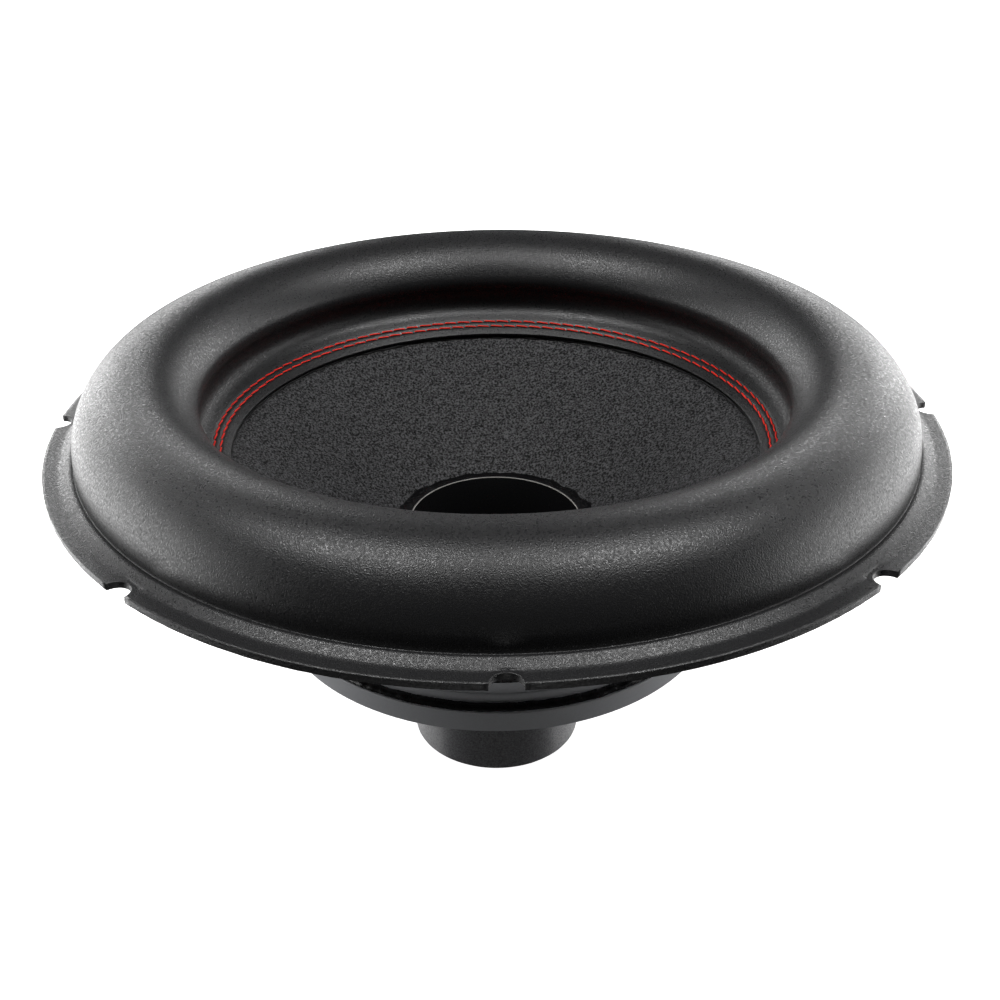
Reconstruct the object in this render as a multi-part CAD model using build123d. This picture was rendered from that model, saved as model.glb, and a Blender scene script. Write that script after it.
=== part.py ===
"""Recone kit of a 15-inch subwoofer: the cone, its stitched surround, the voice coil and the suspension.

The origin is the centre of the voice coil's lower end and +Z is the way the cone faces.
Every height is measured from that lower end, and every size is in millimetres.
Nearly every piece is round, so most are an outline in (radius, height) turned about +Z.
"""

from build123d import *
import math
import os

# ---- surround: moulded foam half-roll with a notched mounting flange and a sewn lip ----
flange_outer_r = 189.0      # a 15-inch basket rim
flange_height = 163.0       # underside of the flange above the coil's lower end
flange_thick = 2.6
flange_flat = 9.0           # flat mounting width, from the rim to the shoulder bead
bead_width = 4.4            # the rounded shoulder between the flange and the roll
bead_height = 2.4
notch_count = 8
notch_r = 5.7               # half-round clearance for the basket's screws
roll_r = 27.0               # outer radius of the roll's section
roll_centre_rise = 8.7      # the roll's section centre above the flange's underside
foam_thick = 2.4
tuck_angle = 27.0           # where the roll's inner side starts to tuck under, up from its equator
tuck_r = 7.0                # the tighter curve there
tuck_under = 41.0           # how far below its own equator that curve runs, in degrees
lip_fillet_r = 8.8          # hollow corner between the roll and the lip
lip_width = 12.2            # along its slope

# ---- cone ----
neck_drop = 5.7             # top of the cone's neck below the former's rim, which sets the slope
cone_thick = 1.6
cone_edge_inset = 0.4       # the cone's rim stops this far short of the lip's hollow corner
neck_length = 5.0           # the turned-down collar that is glued to the coil
lip_film = 0.3              # glue between the lip and the cone
seat_gap = 0.1              # between a piece that moves and the soft piece that it is glued to

# ---- stitching: two rows, each with its needle thread above and its bobbin thread below ----
first_row_inset = 4.2       # from the lip's hollow corner, along the slope
row_spacing = 3.0
thread_width = 0.9
thread_rise = 0.6

# ---- voice coil: a 3-inch former with two windings, one on the other ----
former_bore_r = 38.1
former_wall = 0.5
former_length = 114.0
winding_margin = 0.8        # bare former below the winding
winding_length = 45.0
winding_thick = 0.55        # each of the two windings
wrap_thick = 0.4            # paper wrap where the cone and the spiders are glued
wrap_bottom = 50.0
lead_count = 4
lead_width = 3.0
lead_thick = 0.25
lead_side_gap = 0.2         # each side of a lead, in its slot in the wrap
pad_height = 5.0
pad_rise = 0.9              # solder above the lead
lead_top_gap = 3.5          # bare wrap between the glue under the cone and the leads

# ---- spiders and the plastic rings at their rims ----
ring_height = 10.5
ring_bottom = 73.5
ring_top_r = 102.2
ring_draft = 1.8            # how far the outer wall leans in at its foot
ring_width = 11.2           # of the deck
ring_wall = 2.4
ring_inner_wall = 2.0
ring_deck = 2.0
ring_edge_r = 0.4
rib_count = 24
rib_thick = 1.6
spider_thick = 0.7
spider_neck_land = 5.0      # flat width next to the coil
spider_rim_land = 1.0       # flat part inside the spacer's inner wall
spider_waves = 4
spider_rise_share = 0.35    # height of a half-wave, as a share of its width
upper_rim_inset = 1.8       # upper spider's edge, in from the spacer's edge
lower_rim_gap = 0.2         # lower spider's edge to the spacer's wall
rim_film = 0.3
clamp_inset = 4.0           # clamp ring's edge, in from the spacer's edge
clamp_height = 6.0
clamp_edge_r = 0.8
bead_edge_inset = 0.3       # rim adhesive, in from the spacer's edge
bead_climb = 1.6            # rim adhesive, up the clamp ring
bead_blunt = 0.7            # thickness of the rim adhesive at both its ends

# ---- glue fillets at the coil ----
cone_fillet_width = 7.1     # the glossy pool in the corner between the cone and the former
cone_fillet_drop = 0.4      # its edge below the former's rim
cone_fillet_hollow = 1.1    # how far its surface dips
under_fillet_width = 3.2
under_fillet_height = 3.6
spider_fillet_width = 4.0
spider_fillet_height = 3.5


def polar(r, degrees):
    """A step of length r at an angle in the (radius, height) plane."""
    return Vector(r * math.cos(math.radians(degrees)), r * math.sin(math.radians(degrees)))


# ---- places worked out from the sizes above ----
former_outer_r = former_bore_r + former_wall
wrap_outer_r = former_outer_r + wrap_thick
inner_winding_r = former_outer_r + winding_thick
outer_winding_r = inner_winding_r + winding_thick
winding_top = winding_margin + winding_length

bead_outer_r = flange_outer_r - flange_flat
roll_foot = Vector(bead_outer_r - bead_width, flange_height + flange_thick)
roll_centre_z = flange_height + roll_centre_rise
roll_centre_r = roll_foot.X - math.sqrt(roll_r**2 - (roll_centre_z - roll_foot.Y) ** 2)
roll_centre = Vector(roll_centre_r, roll_centre_z)
tuck_turn = 180 - tuck_angle                 # direction from the roll's centre to the tuck
tuck_centre = roll_centre + polar(roll_r - tuck_r, tuck_turn)
inward = polar(1, 180 + tuck_under)          # from the tuck's centre to the hollow corner's
fillet_centre = tuck_centre + inward * (tuck_r + lip_fillet_r)

# the cone's open side runs from the neck's top to its seat under the lip
neck_top = Vector(wrap_outer_r + seat_gap, former_length - neck_drop)
lip_stack = lip_fillet_r + foam_thick + seat_gap + lip_film
neck_to_fillet = fillet_centre - neck_top
neck_view = math.degrees(math.atan2(neck_to_fillet.Y, neck_to_fillet.X))
cone_angle = neck_view - math.degrees(math.asin(lip_stack / neck_to_fillet.length))
slope = polar(1, cone_angle)                 # up the cone, away from the axis
upward = polar(1, cone_angle + 90)           # square to the cone, on its open side

lip_start = fillet_centre - upward * lip_fillet_r
lip_end = lip_start - slope * lip_width
film_start = lip_start - upward * (foam_thick + seat_gap)
film_length = lip_width - cone_edge_inset
cone_start = film_start - upward * lip_film - slope * cone_edge_inset
neck_low = neck_top.Y - neck_length
lead_top = neck_low - under_fillet_height - lead_top_gap

ring_top = ring_bottom + ring_height
ring_bottom_r = ring_top_r - ring_draft
ring_inner_r = ring_top_r - ring_width
clamp_outer_r = ring_top_r - clamp_inset
upper_spider_z = ring_top                    # undersides of the two spiders' flat parts
lower_spider_z = ring_bottom
upper_rim_r = ring_top_r - upper_rim_inset
lower_rim_r = ring_bottom_r - ring_wall - lower_rim_gap
spider_neck_r = wrap_outer_r + seat_gap
clamp_bottom = upper_spider_z + spider_thick


def cone_surface(r):
    """The point on the cone's open side at radius r."""
    return cone_start + slope * ((r - cone_start.X) / slope.X)


def turned(*lines):
    """Turn a closed outline, drawn in (radius, height), right round the axis."""
    outline = [edge for line in lines for edge in (Plane.XZ * line).edges()]
    return revolve(make_face(Wire(outline)), Axis.Z, 360)


def ring(r_in, r_out, z_low, z_high):
    """A plain ring of rectangular section."""
    corners = [(r_in, z_low), (r_out, z_low), (r_out, z_high), (r_in, z_high)]
    return turned(Polyline(*corners, close=True))


def band(start, length, thick):
    """A ring whose section is a bar lying along the cone's slope, down from start."""
    far = start - slope * length
    return turned(Polyline(start, far, far + upward * thick, start + upward * thick, close=True))


def around(count, piece, first=0.0):
    """Copies of a piece, evenly spaced about the axis."""
    return [Rot(0, 0, first + 360 * n / count) * piece for n in range(count)]


def rounded(piece, radius, z, r):
    """Round the full-circle edge that lies at height z and radius r."""
    chosen = [
        e for e in piece.edges().filter_by(GeomType.CIRCLE)
        if abs(e.arc_center.Z - z) < 1e-4 and abs(e.radius - r) < 1e-4
    ]
    return fillet(chosen, radius)


def roll_inner_side(depth):
    """Arcs from the roll's crest down its inner side to the lip, at a depth below its outer face."""
    r, tight_r = roll_r - depth, tuck_r - depth
    middle = 180 + (tuck_under - tuck_angle) / 2
    tuck_start = roll_centre + polar(r, tuck_turn)
    tuck_end = tuck_centre + inward * tight_r
    corner_r = lip_fillet_r + depth
    corner_mid = -(inward + upward).normalized()
    return [
        ThreePointArc(roll_centre + Vector(0, r), roll_centre + polar(r, 90 + tuck_turn / 4), tuck_start),
        ThreePointArc(tuck_start, tuck_centre + polar(tight_r, middle), tuck_end),
        ThreePointArc(tuck_end, fillet_centre + corner_mid * corner_r, fillet_centre - upward * corner_r),
    ]


def surround():
    """Flange, shoulder bead, half-roll, hollow corner and lip, as one moulding of even thickness."""
    rim_low = Vector(flange_outer_r, flange_height)
    rim_top = Vector(flange_outer_r, flange_height + flange_thick)
    bead_foot = Vector(bead_outer_r, rim_top.Y)
    bead_top = (bead_foot + roll_foot) / 2 + Vector(0, bead_height)
    shell_r = roll_r - foam_thick
    reach = math.sqrt(shell_r**2 - roll_centre_rise**2)
    shell_start = Vector(roll_centre.X + reach, flange_height)
    under = upward * foam_thick
    body = turned(
        Polyline(shell_start, rim_low, rim_top, bead_foot),
        ThreePointArc(bead_foot, bead_top, roll_foot),
        ThreePointArc(roll_foot, roll_centre + polar(roll_r, 45), roll_centre + Vector(0, roll_r)),
        *roll_inner_side(0),
        Polyline(lip_start, lip_end, lip_end - under, lip_start - under),
        *roll_inner_side(foam_thick)[::-1],
        ThreePointArc(roll_centre + Vector(0, shell_r), roll_centre + polar(shell_r, 45), shell_start),
    )
    notch = Pos(flange_outer_r, 0, flange_height) * Cylinder(notch_r, 4 * flange_thick)
    return body - around(notch_count, notch)


def cone():
    """Pulp cone: a straight shell with a short collar turned down at its neck."""
    under = cone_start - upward * cone_thick
    outer_neck_r = neck_top.X + cone_thick
    under_neck = under + slope * ((outer_neck_r - under.X) / slope.X)
    outline = [cone_start, neck_top, (neck_top.X, neck_low), (outer_neck_r, neck_low), under_neck, under]
    return turned(Polyline(*outline, close=True))


def thread_row(row, below):
    """One row's needle thread, on the lip, or its bobbin thread, under the cone."""
    start = lip_start - slope * (first_row_inset + row * row_spacing - thread_width / 2)
    if below:
        depth = foam_thick + seat_gap + lip_film + cone_thick + thread_rise
        return band(start - upward * depth, thread_width, thread_rise)
    return band(start + upward * seat_gap, thread_width, thread_rise)


def lead_slots():
    """The gaps in the wrap that the flat leads lie in."""
    width = lead_width + 2 * lead_side_gap
    height = lead_top - wrap_bottom
    block = Box(4 * wrap_thick, width, height, align=(Align.CENTER, Align.CENTER, Align.MIN))
    return around(lead_count, Pos(former_outer_r, 0, wrap_bottom) * block, 45)


def wrap_collar():
    """Paper wrap round the upper former, with a slot for each flat lead."""
    return ring(former_outer_r, wrap_outer_r, wrap_bottom, former_length) - lead_slots()


def on_former(inner_r, outer_r, width, z_low, z_high):
    """A narrow strip of a tube about the axis, at +X."""
    tube = ring(inner_r, outer_r, z_low, z_high)
    block = Box(outer_r, width, 2 * z_high, align=(Align.MIN, Align.CENTER, Align.CENTER))
    return tube & (Pos(inner_r / 2, 0, 0) * block)


def flat_leads():
    """Flat copper leads from the windings up the former, two for each winding."""
    lead = on_former(former_outer_r, former_outer_r + lead_thick, lead_width, winding_top, lead_top)
    return Compound(children=around(lead_count, lead, 45))


def solder_pads():
    """The solder at the top of each flat lead."""
    inner = former_outer_r + lead_thick
    pad = on_former(inner, inner + pad_rise, lead_width, lead_top - pad_height, lead_top)
    return Compound(children=around(lead_count, pad, 45))


def spider_side(z, side):
    """Arcs along a spider's upper (side +1) or lower (side -1) face, from its neck land to its rim land.

    The arcs share the centres of the cloth's middle line, so the cloth is equally thick all along.
    """
    start = spider_neck_r + spider_neck_land
    width = (ring_inner_r - spider_rim_land - start) / (2 * spider_waves)
    rise = spider_rise_share * width
    middle_r = (width**2 / 4 + rise**2) / (2 * rise)
    tilt = math.degrees(2 * math.atan(2 * rise / width))
    middle_z = z + spider_thick / 2
    arcs = []
    for n in range(2 * spider_waves):
        up = 1 if n % 2 == 0 else -1
        r = middle_r + up * side * spider_thick / 2
        centre = Vector(start + (n + 0.5) * width, middle_z + up * (rise - middle_r))
        left, right = (centre + polar(r, up * (90 + turn)) for turn in (tilt, -tilt))
        flat_z = middle_z + side * spider_thick / 2
        reach = math.sqrt(r**2 - (flat_z - centre.Y) ** 2)
        if n == 0:
            left = Vector(centre.X - reach, flat_z)
        if n == 2 * spider_waves - 1:
            right = Vector(centre.X + reach, flat_z)
        arcs.append(ThreePointArc(left, centre + Vector(0, up * r), right))
    return arcs


def spider(z, rim_r):
    """Corrugated cloth disc: a flat neck, even half-waves up and down, and a flat rim."""
    lower, upper = spider_side(z, -1), spider_side(z, 1)
    top = z + spider_thick
    return turned(
        Line((spider_neck_r, z), lower[0] @ 0), *lower,
        Polyline(lower[-1] @ 1, (rim_r, z), (rim_r, top), upper[-1] @ 1), *upper,
        Polyline(upper[0] @ 0, (spider_neck_r, top), (spider_neck_r, z)),
    )


def spacer_ring():
    """Moulded spacer between the spiders: two walls, a deck on top and radial ribs inside."""
    lean = (ring_top_r - ring_bottom_r) / ring_height
    deck_z = ring_top - ring_deck
    inner_low = ring_bottom + spider_thick + rim_film
    inner_face = ring_inner_r + ring_inner_wall
    outline = [
        (ring_bottom_r - ring_wall, ring_bottom), (ring_bottom_r, ring_bottom),
        (ring_top_r, ring_top), (ring_inner_r, ring_top), (ring_inner_r, inner_low),
        (inner_face, inner_low), (inner_face, deck_z),
        (ring_bottom_r - ring_wall + lean * (deck_z - ring_bottom), deck_z),
    ]
    body = rounded(turned(Polyline(*outline, close=True)), ring_edge_r, ring_top, ring_top_r)
    wall_r = ring_bottom_r - ring_wall / 2
    size = (wall_r - inner_face + ring_inner_wall / 2, rib_thick, deck_z - inner_low + ring_deck / 2)
    rib = Box(*size, align=(Align.MAX, Align.CENTER, Align.MIN))
    return body + around(rib_count, Pos(wall_r, 0, inner_low) * rib)


def clamp_ring():
    """Smaller plastic ring that presses the upper spider's rim onto the spacer."""
    top = clamp_bottom + clamp_height
    body = ring(ring_inner_r, clamp_outer_r, clamp_bottom, top)
    return rounded(body, clamp_edge_r, top, clamp_outer_r)


def rim_adhesive():
    """Black glue on the spacer's deck, over the upper spider's edge and up the clamp ring."""
    edge = ring_top_r - ring_edge_r - bead_edge_inset
    climb = clamp_bottom + bead_climb
    return turned(Polyline(
        (edge, ring_top), (edge, ring_top + bead_blunt), (clamp_outer_r + bead_blunt, climb),
        (clamp_outer_r, climb), (clamp_outer_r, clamp_bottom),
        (upper_rim_r, clamp_bottom), (upper_rim_r, ring_top), close=True,
    ))


def cone_adhesive():
    """The glue pool between the cone's neck and the former, with a hollow surface."""
    inner = cone_surface(wrap_outer_r)
    outer = cone_surface(wrap_outer_r + cone_fillet_width)
    top = Vector(wrap_outer_r, former_length - cone_fillet_drop)
    dip = (outer + top) / 2 - Vector(0, cone_fillet_hollow)
    return turned(Line(top, inner), Line(inner, outer), ThreePointArc(outer, dip, top))


def corner_fillet(z, width, height):
    """Glue in the corner against the wrap: up from z, or down if the height is negative."""
    return turned(Polyline(
        (wrap_outer_r, z), (wrap_outer_r + width, z), (wrap_outer_r, z + height), close=True,
    ))


pieces = {
    "surround": surround(),
    "cone": cone(),
    "lip_adhesive": band(cone_start, film_length, lip_film),
    "needle_thread_outer": thread_row(0, below=False),
    "needle_thread_inner": thread_row(1, below=False),
    "bobbin_thread_outer": thread_row(0, below=True),
    "bobbin_thread_inner": thread_row(1, below=True),
    "voice_coil_former": ring(former_bore_r, former_outer_r, 0, former_length),
    "winding_inner": ring(former_outer_r, inner_winding_r, winding_margin, winding_top),
    "winding_outer": ring(inner_winding_r, outer_winding_r, winding_margin, winding_top),
    "former_wrap": wrap_collar(),
    "flat_leads": flat_leads(),
    "solder_pads": solder_pads(),
    "cone_neck_adhesive": cone_adhesive(),
    "cone_underside_adhesive": corner_fillet(neck_low, under_fillet_width, -under_fillet_height),
    "upper_spider": spider(upper_spider_z, upper_rim_r),
    "lower_spider": spider(lower_spider_z, lower_rim_r),
    "upper_spider_adhesive": corner_fillet(
        clamp_bottom + seat_gap, spider_fillet_width, spider_fillet_height
    ),
    "lower_spider_adhesive": corner_fillet(
        lower_spider_z - seat_gap, spider_fillet_width, -spider_fillet_height
    ),
    "spider_spacer_ring": spacer_ring(),
    "spider_clamp_ring": clamp_ring(),
    "upper_rim_adhesive": rim_adhesive(),
    "lower_rim_adhesive": ring(
        ring_inner_r, ring_inner_r + ring_inner_wall,
        lower_spider_z + spider_thick, lower_spider_z + spider_thick + rim_film,
    ),
}

os.makedirs("parts", exist_ok=True)
for name, piece in pieces.items():
    export_step(piece, f"parts/{name}.step")
    print(f"{name:26s} {piece.volume:10.0f} mm3")
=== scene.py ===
"""Visual model of a 15-inch subwoofer recone kit: stitched cone, foam surround, voice coil and suspension.

Every surface is computed in millimetres with Z up from the voice coil's lower end, and
scaled to metres when its mesh is made. The drive unit's own axis is the Z axis.
"""

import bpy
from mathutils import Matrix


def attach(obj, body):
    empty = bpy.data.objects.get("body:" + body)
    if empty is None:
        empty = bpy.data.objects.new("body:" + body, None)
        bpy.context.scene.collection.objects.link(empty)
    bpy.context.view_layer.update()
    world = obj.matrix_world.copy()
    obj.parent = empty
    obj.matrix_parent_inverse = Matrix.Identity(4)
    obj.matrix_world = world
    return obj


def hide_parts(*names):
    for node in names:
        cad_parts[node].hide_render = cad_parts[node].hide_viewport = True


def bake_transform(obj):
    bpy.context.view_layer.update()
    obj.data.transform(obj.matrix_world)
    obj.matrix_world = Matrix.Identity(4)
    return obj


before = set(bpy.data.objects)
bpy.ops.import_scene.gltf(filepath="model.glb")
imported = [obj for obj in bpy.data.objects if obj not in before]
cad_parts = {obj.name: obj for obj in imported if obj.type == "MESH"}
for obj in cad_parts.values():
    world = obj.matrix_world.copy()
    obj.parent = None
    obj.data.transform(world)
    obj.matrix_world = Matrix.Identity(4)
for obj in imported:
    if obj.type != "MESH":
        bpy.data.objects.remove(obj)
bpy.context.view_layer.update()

import logging
import math
from collections.abc import Callable
from dataclasses import dataclass, field
from enum import Enum
from typing import Any

import bpy
import numpy as np
from mathutils import Vector

log = logging.getLogger("recone_kit")

MM = 0.001
TURN = 2.0 * math.pi
FIXED = "mounting"
MOVING = "moving_assembly"

# ---- sizes shared with the CAD model, in millimetres ----
FLANGE_R = 189.0
FLANGE_Z = 163.0
FLANGE_THICK = 2.6
FLANGE_FLAT = 9.0
BEAD_WIDTH = 4.4
BEAD_HEIGHT = 2.4
NOTCHES = 8
NOTCH_R = 5.7
ROLL_R = 27.0
ROLL_RISE = 8.7
FOAM = 2.4
TUCK_ANGLE = 27.0
TUCK_R = 7.0
TUCK_UNDER = 41.0
CORNER_R = 8.8
LIP_WIDTH = 12.2
NECK_DROP = 5.7
CONE_THICK = 1.6
CONE_INSET = 0.4
NECK_LENGTH = 5.0
LIP_FILM = 0.3
SEAT_GAP = 0.1
ROW_INSET = 4.2
ROW_SPACING = 3.0
THREAD_WIDTH = 0.9
FORMER_R = 38.1
FORMER_WALL = 0.5
FORMER_LENGTH = 114.0
WINDING_LOW = 0.8
WINDING_LENGTH = 45.0
WINDING_THICK = 0.55
WRAP_THICK = 0.4
RING_BOTTOM = 73.5
RING_HEIGHT = 10.5
RING_TOP_R = 102.2
RING_DRAFT = 1.8
RING_WIDTH = 11.2
RING_WALL = 2.4
SPIDER_THICK = 0.7
SPIDER_LAND = 5.0
SPIDER_RIM_LAND = 1.0
SPIDER_WAVES = 4
SPIDER_RISE = 0.35
CLAMP_INSET = 4.0
CLAMP_HEIGHT = 6.0

# ---- spacing of regular patterns: turns of twist in a stitch, and millimetres ----
TWISTS = 13.0
WEAVE = 1.5
SPECK_GAP = 1.7


# ---------------------------------------------------------------------------
# Plane geometry of the turned outlines
# ---------------------------------------------------------------------------


def polar(r: float, degrees: float | np.ndarray) -> np.ndarray:
    """Steps of length r in the (radius, height) plane, at angles anticlockwise from outward."""
    angle = np.radians(degrees)
    return np.stack([r * np.cos(angle), r * np.sin(angle)], axis=-1)


def arc(centre: np.ndarray, r: float, first: float, last: float, count: int) -> np.ndarray:
    """Points evenly spaced along an arc of an outline, from its first angle to its last."""
    return centre + polar(r, np.linspace(first, last, count))


def line(start: np.ndarray, end: np.ndarray, count: int) -> np.ndarray:
    """Points evenly spaced along a straight run of an outline, both ends included."""
    t = np.linspace(0.0, 1.0, count)[:, None]
    return np.asarray(start) * (1 - t) + np.asarray(end) * t


def join(*runs: np.ndarray) -> np.ndarray:
    """One outline from several runs, without the points that two runs share.

    Args:
        *runs: Arrays of (radius, height) points in order.

    Returns:
        The joined outline, closed from its last point back to its first.
    """
    points = np.vstack(runs)
    step = np.linalg.norm(np.diff(points, axis=0, append=points[:1]), axis=1)
    return points[step > 1e-4]


def soften(outline: np.ndarray, corners: list[np.ndarray], reach: float, passes: int) -> np.ndarray:
    """Round an outline's corners by averaging neighbours near them.

    Each pass moves a point half way to the mean of its two neighbours, times a weight that
    falls from one at a corner to nothing at the given reach.

    Args:
        outline: Closed outline as an (n, 2) array.
        corners: The corner points to round.
        reach: Distance over which the rounding fades, in millimetres.
        passes: Number of averaging passes.

    Returns:
        The rounded outline.
    """
    gap = np.min([np.linalg.norm(outline - corner, axis=1) for corner in corners], axis=0)
    weight = np.clip(1 - gap / reach, 0, 1)[:, None] * 0.5
    for _ in range(passes):
        mean = (np.roll(outline, 1, axis=0) + np.roll(outline, -1, axis=0)) / 2
        outline = outline + weight * (mean - outline)
    return outline


def lengths(outline: np.ndarray) -> np.ndarray:
    """Distance along a closed outline to each of its n points, and then back to its first."""
    step = np.linalg.norm(np.roll(outline, -1, axis=0) - outline, axis=1)
    return np.concatenate([[0.0], np.cumsum(step)])


# ---------------------------------------------------------------------------
# Smooth randomness
# ---------------------------------------------------------------------------


def lumps(
    points: np.ndarray, seed: int, shortest: float, longest: float, count: int = 44
) -> np.ndarray:
    """Smooth random relief: the sum of many plane waves with random directions and phases.

    Args:
        points: Positions in millimetres, last axis (x, y, z).
        seed: Seed of the random directions.
        shortest: Shortest wavelength in millimetres.
        longest: Longest wavelength.
        count: Number of waves.

    Returns:
        Values of about unit spread, one for each position.
    """
    rng = np.random.default_rng(seed)
    direction = rng.normal(size=(count, 3))
    direction /= np.linalg.norm(direction, axis=1, keepdims=True)
    wavelength = shortest * (longest / shortest) ** rng.random(count)
    phase = rng.random(count) * TURN
    total = np.zeros(points.shape[:-1])
    for way, size, start in zip(direction, wavelength, phase):
        total += np.cos(points @ (way * TURN / size) + start)
    return total / math.sqrt(count / 2)


def wobble(angles: np.ndarray, seed: int, lowest: int, highest: int, count: int = 24) -> np.ndarray:
    """Smooth random variation round the axis: the sum of whole-number harmonics.

    Args:
        angles: Angles in radians.
        seed: Seed of the harmonics and phases.
        lowest: Fewest waves in a turn.
        highest: Most waves in a turn.
        count: Number of harmonics.

    Returns:
        Values of about unit spread, one for each angle.
    """
    rng = np.random.default_rng(seed)
    harmonics = rng.integers(lowest, highest + 1, count)[:, None]
    phase = rng.random((count, 1)) * TURN
    return np.cos(harmonics * angles[None, :] + phase).sum(axis=0) / math.sqrt(count / 2)


def smoothstep(t: np.ndarray) -> np.ndarray:
    """Ease from nought to one: three t squared less two t cubed, with t held between them."""
    t = np.clip(t, 0, 1)
    return t * t * (3 - 2 * t)


# ---------------------------------------------------------------------------
# Meshes
# ---------------------------------------------------------------------------


def turns(count: int) -> np.ndarray:
    """Evenly spaced angles round the axis in radians, without the repeated last one."""
    return np.arange(count) * (TURN / count)


def swept(outline: np.ndarray, angles: np.ndarray) -> np.ndarray:
    """Turn an outline round the axis.

    Args:
        outline: Closed outline as an (n, 2) array of (radius, height).
        angles: The m angles at which it is repeated.

    Returns:
        Points as an (n, m, 3) array.
    """
    r, z = outline[:, :1], outline[:, 1:]
    across = np.ones((1, len(angles)))
    return np.stack([r * np.cos(angles), r * np.sin(angles), z * across], axis=-1)


def quads(rows: int, columns: int) -> np.ndarray:
    """Corner numbers of the faces of a grid that closes on itself both ways.

    Args:
        rows: Points along the outline.
        columns: Points round the axis.

    Returns:
        A (rows * columns, 4) array, facing outward for an outline drawn anticlockwise.
    """
    i, j = np.meshgrid(np.arange(rows), np.arange(columns), indexing="ij")
    up, on = (i + 1) % rows, (j + 1) % columns
    corners = [i * columns + j, i * columns + on, up * columns + on, up * columns + j]
    return np.stack(corners, axis=-1).reshape(-1, 4)


def make_object(
    name: str, points: np.ndarray, faces: np.ndarray, uv: np.ndarray | None = None
) -> bpy.types.Object:
    """A smooth-shaded mesh object at the origin.

    Args:
        name: Name of the piece.
        points: Vertex positions in millimetres, last axis (x, y, z).
        faces: Corner numbers, one row for each face.
        uv: Texture places of the corners, face by face, or None.

    Returns:
        The object, linked to the scene.
    """
    mesh = bpy.data.meshes.new(name)
    mesh.from_pydata((points.reshape(-1, 3) * MM).tolist(), [], faces.tolist())
    mesh.polygons.foreach_set("use_smooth", np.ones(len(faces), dtype=bool))
    if uv is not None:
        layer = mesh.uv_layers.new(name="surface")
        layer.data.foreach_set("uv", uv.reshape(-1).astype(np.float32))
    mesh.update()
    piece = bpy.data.objects.new(name, mesh)
    bpy.context.scene.collection.objects.link(piece)
    return piece


def grid_uv(across: np.ndarray, along: np.ndarray) -> np.ndarray:
    """Texture places of the face corners of a grid.

    Args:
        across: Place of each column, with the closing one.
        along: Place of each row, with the closing one.

    Returns:
        A (faces, 4, 2) array, in the order of the faces and corners that quads gives.
    """
    i, j = np.divmod(np.arange((len(along) - 1) * (len(across) - 1)), len(across) - 1)
    left, right, low, high = across[j], across[j + 1], along[i], along[i + 1]
    corners = [(left, low), (right, low), (right, high), (left, high)]
    return np.stack([np.stack(corner, axis=-1) for corner in corners], axis=1)


def ring_object(
    name: str, points: np.ndarray, angles: np.ndarray, along: np.ndarray
) -> bpy.types.Object:
    """A closed ring from a grid of points, with its texture places in turns and millimetres.

    Args:
        name: Name of the piece.
        points: Grid of points, (rows, columns, 3).
        angles: Angle of each column in radians.
        along: Distance along the outline of each row, with the closing one, in millimetres.

    Returns:
        The object.
    """
    uv = grid_uv(np.append(angles, angles[0] + TURN) / TURN, along)
    return make_object(name, points, quads(*points.shape[:2]), uv)


def turned(
    name: str,
    outline: np.ndarray,
    columns: int,
    shape: Callable[[np.ndarray, np.ndarray], np.ndarray] | None = None,
) -> bpy.types.Object:
    """A closed ring turned from an outline, reshaped if a function is given.

    Args:
        name: Name of the piece.
        outline: Closed anticlockwise outline as (radius, height) points.
        columns: Number of points round the axis.
        shape: Takes the (rows, columns, 3) points and the angles and returns new points.

    Returns:
        The object.
    """
    angles = turns(columns)
    points = swept(outline, angles)
    if shape is not None:
        points = shape(points, angles)
    return ring_object(name, points, angles, lengths(outline))


def blend_by_radius(piece: bpy.types.Object) -> None:
    """Bake a round piece's placement into its mesh and read out its points.

    Args:
        piece: The object, with its final mesh.
    """
    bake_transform(piece)
    places = np.empty(len(piece.data.vertices) * 3, dtype=np.float32)
    piece.data.vertices.foreach_get("co", places)


# ---------------------------------------------------------------------------
# Finishes
# ---------------------------------------------------------------------------


class Slot(Enum):
    """Material slots that the parts library knows."""

    FOAM = "surround_foam"
    PULP = "cone_pulp"
    GLUE = "black_adhesive"
    THREAD = "red_thread"
    FORMER = "former"
    WIRE = "magnet_wire"
    PAPER = "wrap_paper"
    COPPER = "copper"
    SOLDER = "solder"
    CLOTH = "spider_cloth"
    PLASTIC = "grey_plastic"


class Pattern(Enum):
    """Regular relief that a finish can carry besides its grain, by its depth in millimetres."""

    NONE = 0.0
    TWIST = 0.16
    WEAVE = 0.12
    SPECKS = 0.14


@dataclass(frozen=True)
class Grain:
    """One layer of random relief.

    Attributes:
        size: Width of its lumps in millimetres.
        depth: Height of its lumps in millimetres.
        detail: Octaves of finer noise on top.
    """

    size: float
    depth: float
    detail: float = 2.0


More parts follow.
